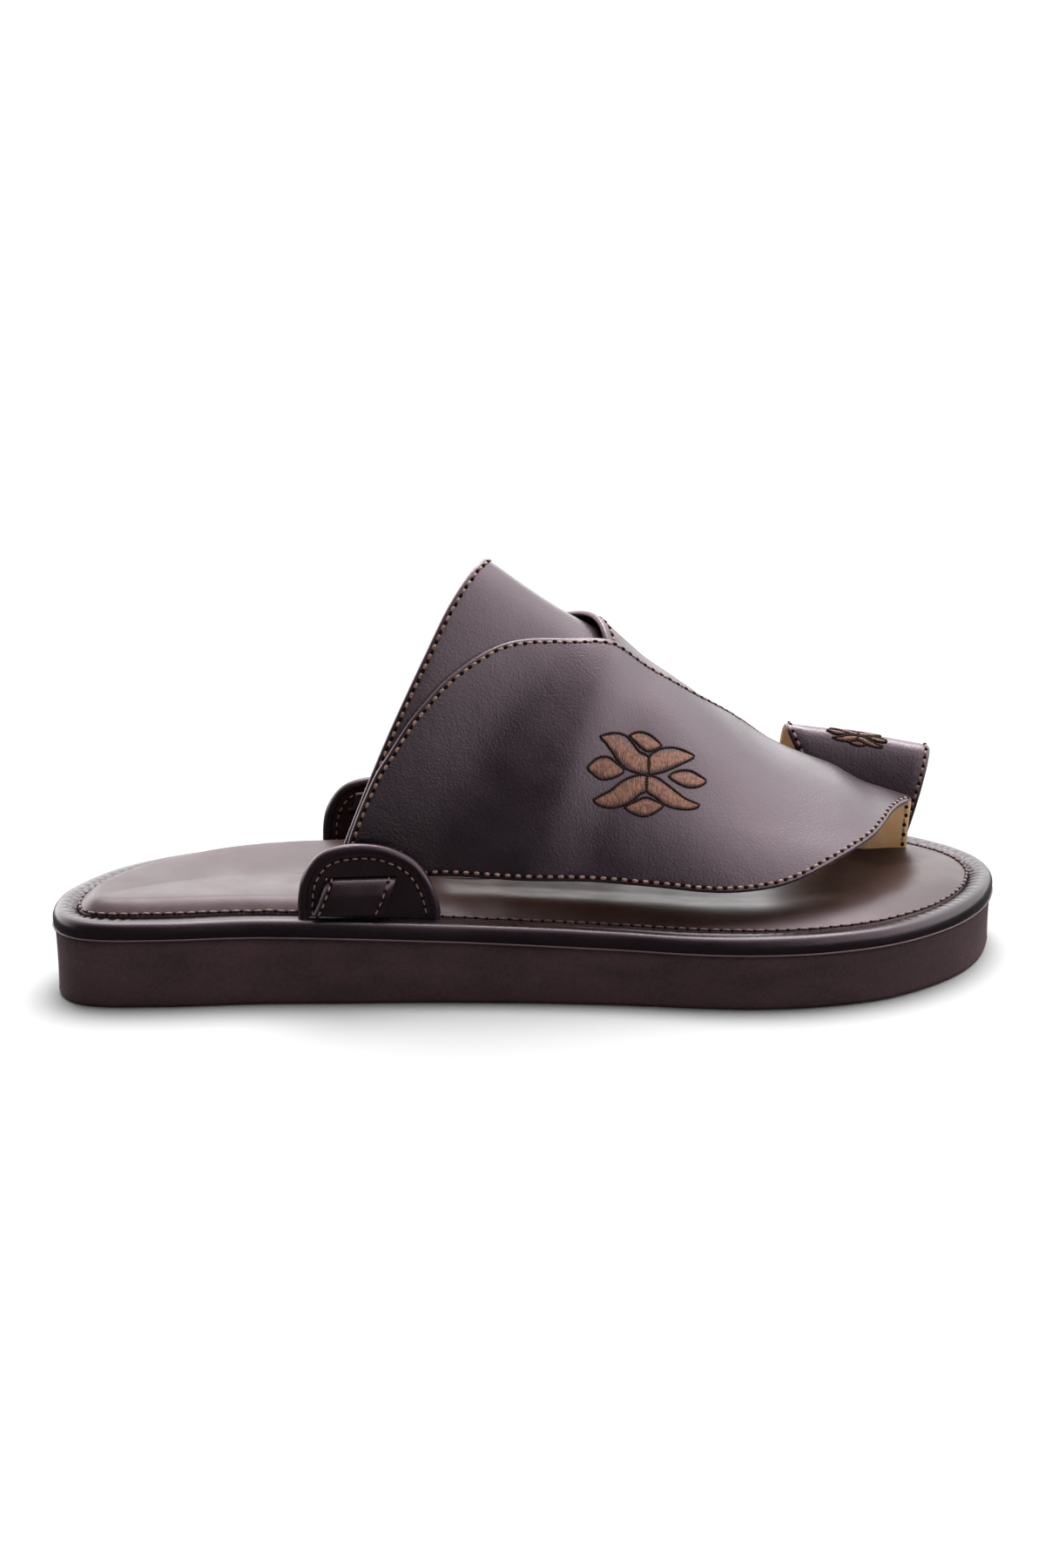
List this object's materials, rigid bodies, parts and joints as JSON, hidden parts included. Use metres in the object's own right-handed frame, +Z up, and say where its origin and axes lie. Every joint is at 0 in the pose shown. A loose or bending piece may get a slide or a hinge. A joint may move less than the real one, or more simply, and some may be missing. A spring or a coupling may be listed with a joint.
{
  "type": "arabic sandal",
  "caption": "Right open leather sandal with a tented instep upper of lapped wings, a big-toe ring, side ears and a thick foam sole.",
  "frame": {"origin": "on the floor under the middle of the sandal's length and width", "axes": "+X from heel to toe, +Y to the inner side of the right foot, +Z up"},
  "size_m": [0.2913, 0.1104, 0.1261],
  "materials": {
    "foam": "matte microcellular foam, dark burgundy, finely speckled",
    "rand_leather": "smooth glossy dark brown leather, rolled",
    "insole_leather": "polished dark brown leather",
    "upper_leather": "smooth semi-gloss plum-brown leather with tan lining",
    "ear_leather": "smooth glossy dark brown leather, doubled"
  },
  "bodies": {
    "root": {"outsole": "foam", "rand": "rand_leather", "insole": "insole_leather", "upper": "upper_leather", "toe_ring": "upper_leather", "ear_outer": "ear_leather", "ear_inner": "ear_leather"}
  },
  "joints": []
}
